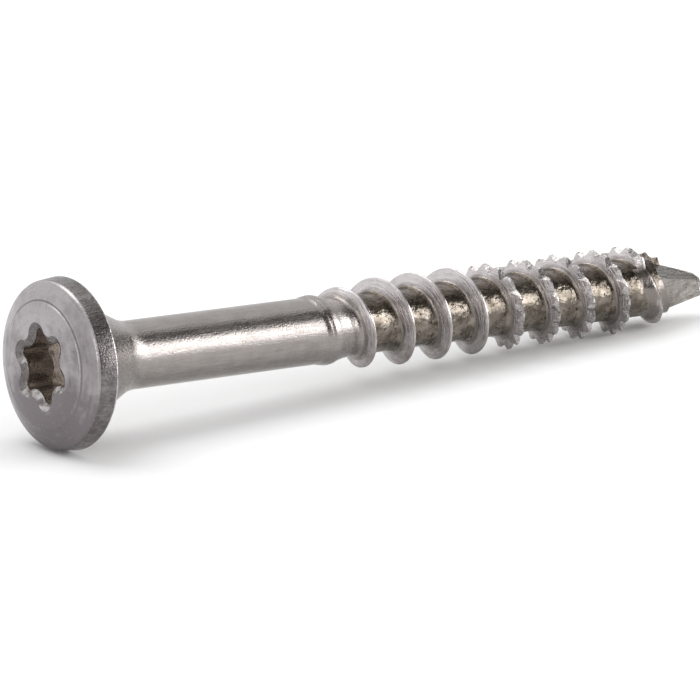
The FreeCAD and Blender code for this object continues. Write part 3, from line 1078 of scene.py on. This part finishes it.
class SCREW_OT_stage(bpy.types.Operator):
    """Make the floor, the lights and the camera"""
    bl_idname = "screw.stage"
    bl_label = "Make Stage"

    def execute(self, context):
        settings = context.scene.screw_stage
        deselect()
        bpy.ops.mesh.primitive_plane_add(size=FLOOR_SIZE, location=(0, 0, 0))
        floor = context.object
        floor.name = "floor"
        floor.data.materials.append(plain("paper", settings.paper))
        black = plain("black_cloth", CARD_BLACK)
        for name, azimuth, elevation, distance, width, height in CARDS:
            deselect()
            place, turn = around(azimuth, elevation, distance)
            bpy.ops.mesh.primitive_plane_add(size=1.0, location=place, rotation=turn)
            card = context.object
            card.name = name
            card.scale = (width, height, 1)
            card.data.materials.append(black)
            card.visible_camera = False
            card.visible_diffuse = False
            card.visible_shadow = False
        for name, azimuth, elevation, distance, width, height, radiance in LAMPS:
            deselect()
            place, turn = around(azimuth, elevation, distance)
            bpy.ops.object.light_add(type="AREA", location=place, rotation=turn)
            lamp = context.object
            lamp.name = name
            lamp.data.shape = "RECTANGLE"
            lamp.data.size = width
            lamp.data.size_y = height
            lamp.data.energy = radiance * math.pi * width * height
        world = bpy.data.worlds.new("studio")
        context.scene.world = world
        world.use_nodes = True
        nodes, link = world.node_tree.nodes, world.node_tree.links.new
        lit = nodes["Background"]
        lit.inputs["Color"].default_value = (settings.light, settings.light, settings.light, 1)
        white = nodes.new("ShaderNodeBackground")
        white.inputs["Color"].default_value = (1, 1, 1, 1)
        path = nodes.new("ShaderNodeLightPath")
        seen = path.outputs["Is Camera Ray"]
        for ray in ("Is Glossy Ray", "Is Transmission Ray"):
            added = nodes.new("ShaderNodeMath")
            added.operation = "ADD"
            added.use_clamp = True
            link(seen, added.inputs[0])
            link(path.outputs[ray], added.inputs[1])
            seen = added.outputs[0]
        mixed = nodes.new("ShaderNodeMixShader")
        link(seen, mixed.inputs[0])
        link(lit.outputs[0], mixed.inputs[1])
        link(white.outputs[0], mixed.inputs[2])
        link(mixed.outputs[0], nodes["World Output"].inputs[0])
        bpy.ops.object.camera_add()
        camera = context.object
        camera.data.lens = settings.lens
        camera.data.shift_x = CAMERA_SHIFT
        camera.data.clip_start = 0.01
        camera.data.clip_end = 10
        right = CAMERA_FORWARD.cross(CAMERA_UP).normalized()
        turn = Matrix((right, right.cross(CAMERA_FORWARD), -CAMERA_FORWARD)).transposed().to_4x4()
        camera.matrix_world = LAY @ Matrix.Translation(CAMERA_PLACE * MM) @ turn
        context.scene.camera = camera
        context.scene.view_settings.view_transform = "Standard"
        return {"FINISHED"}


class SCREW_PT_panel(bpy.types.Panel):
    """Sizes and steps of the screw"""
    bl_idname = "SCREW_PT_panel"
    bl_label = "Chipboard Screw"
    bl_space_type = "VIEW_3D"
    bl_region_type = "UI"
    bl_category = "Screw"

    def draw(self, context):
        for name in GROUPS:
            group = getattr(context.scene, name)
            box = self.layout.box()
            for key in group.__annotations__:
                box.prop(group, key)
        for operator in OPERATORS:
            self.layout.operator(operator.bl_idname)


GROUPS = {
    "screw_head": ScrewHead,
    "screw_socket": ScrewSocket,
    "screw_shank": ScrewShank,
    "screw_thread": ScrewThread,
    "screw_point": ScrewPoint,
    "screw_steel": ScrewSteel,
    "screw_stage": ScrewStage,
}
OPERATORS = (SCREW_OT_finishes, SCREW_OT_body, SCREW_OT_stage)


def register():
    for cls in (*GROUPS.values(), *OPERATORS, SCREW_PT_panel):
        bpy.utils.register_class(cls)
    for name, cls in GROUPS.items():
        setattr(bpy.types.Scene, name, PointerProperty(type=cls))


def unregister():
    for name in GROUPS:
        delattr(bpy.types.Scene, name)
    for cls in reversed((*GROUPS.values(), *OPERATORS, SCREW_PT_panel)):
        bpy.utils.unregister_class(cls)


def main():
    register()
    bpy.ops.screw.finishes()
    bpy.ops.screw.body()
    bpy.ops.screw.stage()


if __name__ == "__main__":
    main()
